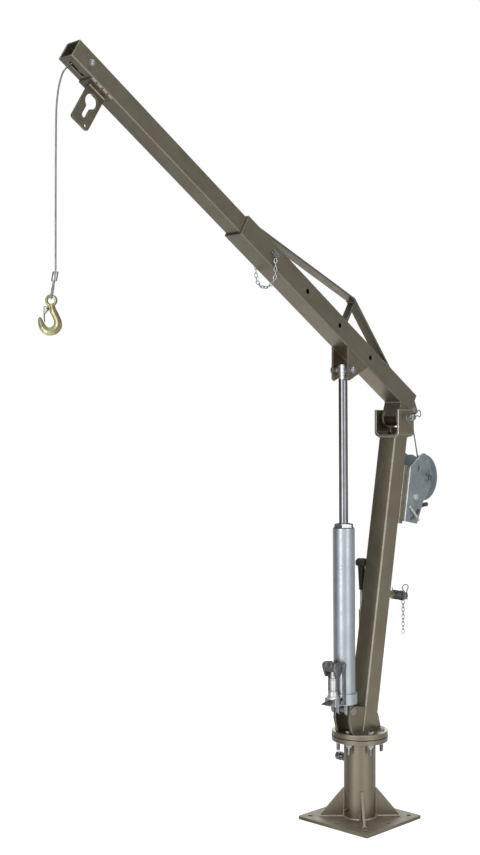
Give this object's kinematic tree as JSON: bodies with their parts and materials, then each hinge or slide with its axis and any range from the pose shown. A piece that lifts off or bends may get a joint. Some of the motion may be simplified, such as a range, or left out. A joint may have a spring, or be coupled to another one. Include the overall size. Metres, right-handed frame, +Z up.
{
  "type": "truck jib crane",
  "caption": "Truck-bed jib crane: bolted base, swivel mast, jack-raised telescopic boom, hand winch, wire rope and latch hook.",
  "frame": {"origin": "centre of the base plate's underside, under the swivel axis", "axes": "+Z up along the swivel axis, +X along the boom's reach"},
  "size_m": [1.645, 0.28, 2.2429],
  "materials": {
    "paint": "satin metallic olive paint",
    "steel": "zinc plated",
    "zinc": "dull zinc plate",
    "rope": "stranded wire rope",
    "gold": "yellow zinc",
    "silver": "silver paint",
    "chrome": "hard chrome",
    "grip": "moulded rubber",
    "brass": "turned brass"
  },
  "bodies": {
    "base": {"base_plate": "paint", "base_column": "paint", "base_gussets": "paint", "column_bushes": "steel", "grease_nipple": "brass"},
    "lock_screw": {"swivel_lock_screw": "steel"},
    "mast": {"spindle": "steel", "swivel_flange": "paint", "mast_flange": "paint", "flange_bolts": "steel", "mast_tube": "paint", "mast_foot_plates": "paint", "mast_head": "paint", "jack_pin": "steel", "pivot_pin": "steel", "pivot_clip": "steel", "winch_bracket": "paint", "winch_frame": "zinc", "winch_bolts": "steel", "drum_axle": "steel", "handle_post": "paint", "post_clip": "steel", "post_chain": "steel", "handle_socket": "paint", "rope_mast_run": "rope"},
    "handle": {"stow_handle": "steel", "handle_grip": "grip"},
    "drum": {"winch_drum": "zinc", "drum_gear": "zinc", "rope_winding": "rope"},
    "pinion": {"pinion_shaft": "zinc"},
    "pawl": {"pawl": "zinc"},
    "boom": {"outer_boom": "paint", "boom_heel": "paint", "jack_lugs": "paint", "boom_truss": "paint", "lug_pin": "steel", "lock_pin": "steel", "rear_sheave_axle": "steel", "rope_heel_run": "rope"},
    "chain": {"lock_chain": "steel"},
    "rear_sheave": {"rear_sheave": "steel"},
    "extension": {"inner_boom": "paint", "hook_bracket": "paint", "tip_axle": "steel", "rope_tip_run": "rope"},
    "tip_sheave": {"tip_sheave": "steel"},
    "hanging": {"hanging_rope": "rope", "rope_ferrule": "steel", "rope_eye": "rope"},
    "hook": {"hook": "gold"},
    "latch": {"hook_latch": "gold"},
    "jack": {"jack_base": "silver", "jack_cylinder": "silver", "gland_nut": "silver", "pump_links": "steel"},
    "ram": {"ram_rod": "chrome"},
    "rocker": {"pump_rocker": "silver"},
    "piston": {"pump_piston": "steel"},
    "valve": {"release_valve": "silver"}
  },
  "joints": [
    {"name": "mast_swivel", "type": "hinge", "parent": "base", "child": "mast", "pos_m": [0, 0, 0.25], "axis": [0, 0, 1], "continuous": true},
    {"name": "lock_screw_turn", "type": "hinge", "parent": "base", "child": "lock_screw", "pos_m": [0, -0.07, 0.188], "axis": [0, -1, 0], "range_deg": [-180, 180]},
    {"name": "boom_lift", "type": "hinge", "parent": "mast", "child": "boom", "pos_m": [-0.197, 0, 1.292], "axis": [0, -1, 0], "range_deg": [-31.7, 6.3], "deforming": ["rope_mast_run", "hanging_rope"]},
    {"name": "boom_extension", "type": "slide", "parent": "boom", "child": "extension", "axis": [0.8506, 0, 0.5258], "range_m": [-0.54, 0]},
    {"name": "rear_sheave_spin", "type": "hinge", "parent": "boom", "child": "rear_sheave", "pos_m": [-0.24739, 0, 1.31646], "axis": [0, 1, 0], "continuous": true},
    {"name": "tip_sheave_spin", "type": "hinge", "parent": "extension", "child": "tip_sheave", "pos_m": [1.13068, 0, 2.18905], "axis": [0, 1, 0], "continuous": true},
    {"name": "rope_hang", "type": "hinge", "parent": "extension", "child": "hanging", "pos_m": [1.17565, 0, 2.18216], "axis": [0, -1, 0], "range_deg": [-6.4, 31.8]},
    {"name": "chain_hang", "type": "hinge", "parent": "boom", "child": "chain", "pos_m": [0.44593, 0, 1.7658], "axis": [0, -1, 0], "range_deg": [-6.4, 31.8]},
    {"name": "hook_swing", "type": "hinge", "parent": "hanging", "child": "hook", "pos_m": [1.23167, -0.00796, 1.58392], "axis": [0.7202, 0.6938, 0], "range_deg": [-35, 35]},
    {"name": "hook_latch_open", "type": "hinge", "parent": "hook", "child": "latch", "pos_m": [1.23805, -0.01459, 1.55762], "axis": [0.7202, 0.6938, 0], "range_deg": [0, 35], "stiffness_Nm_per_rad": 0.02, "springref_deg": -28.65},
    {"name": "jack_tilt", "type": "hinge", "parent": "mast", "child": "jack", "pos_m": [0.077, 0, 0.362], "axis": [0, 1, 0], "range_deg": [-0.6, 2.9]},
    {"name": "ram_swing", "type": "hinge", "parent": "boom", "child": "ram", "pos_m": [0.08497, 0, 1.44101], "axis": [0, 1, 0], "range_deg": [-29, 5.8]},
    {"name": "pump_rock", "type": "hinge", "parent": "jack", "child": "rocker", "pos_m": [0.11511, 0, 0.51172], "axis": [0, 1, 0], "range_deg": [-20, 22]},
    {"name": "pump_stroke", "type": "slide", "parent": "jack", "child": "piston", "axis": [0.0074, 0, 1], "range_m": [-0.0075, 0.007]},
    {"name": "valve_turn", "type": "hinge", "parent": "jack", "child": "valve", "pos_m": [0.14826, 0, 0.39647], "axis": [1, 0, -0.0074], "range_deg": [0, 180]},
    {"name": "drum_spin", "type": "hinge", "parent": "mast", "child": "drum", "pos_m": [-0.31, 0, 1.09], "axis": [0, 1, 0], "continuous": true},
    {"name": "pinion_spin", "type": "hinge", "parent": "mast", "child": "pinion", "pos_m": [-0.23962, 0, 1.02663], "axis": [0, 1, 0], "continuous": true},
    {"name": "pawl_lift", "type": "hinge", "parent": "mast", "child": "pawl", "pos_m": [-0.24364, 0.0325, 0.97002], "axis": [0, -1, 0], "range_deg": [0, 16], "stiffness_Nm_per_rad": 0.2, "springref_deg": -45.84},
    {"name": "handle_lift", "type": "slide", "parent": "mast", "child": "handle", "axis": [0, 0, 1], "range_m": [0, 0.05]}
  ],
  "couplings": [
    {"joint": "rope_hang", "follows": "boom_lift", "ratio": -1},
    {"joint": "chain_hang", "follows": "boom_lift", "ratio": -1},
    {"joint": "jack_tilt", "follows": "boom_lift", "ratio": -0.089},
    {"joint": "ram_swing", "follows": "boom_lift", "ratio": 0.911},
    {"joint": "pump_stroke", "follows": "pump_rock", "m_per_rad": -0.019},
    {"joint": "pinion_spin", "follows": "drum_spin", "ratio": -3.5}
  ]
}
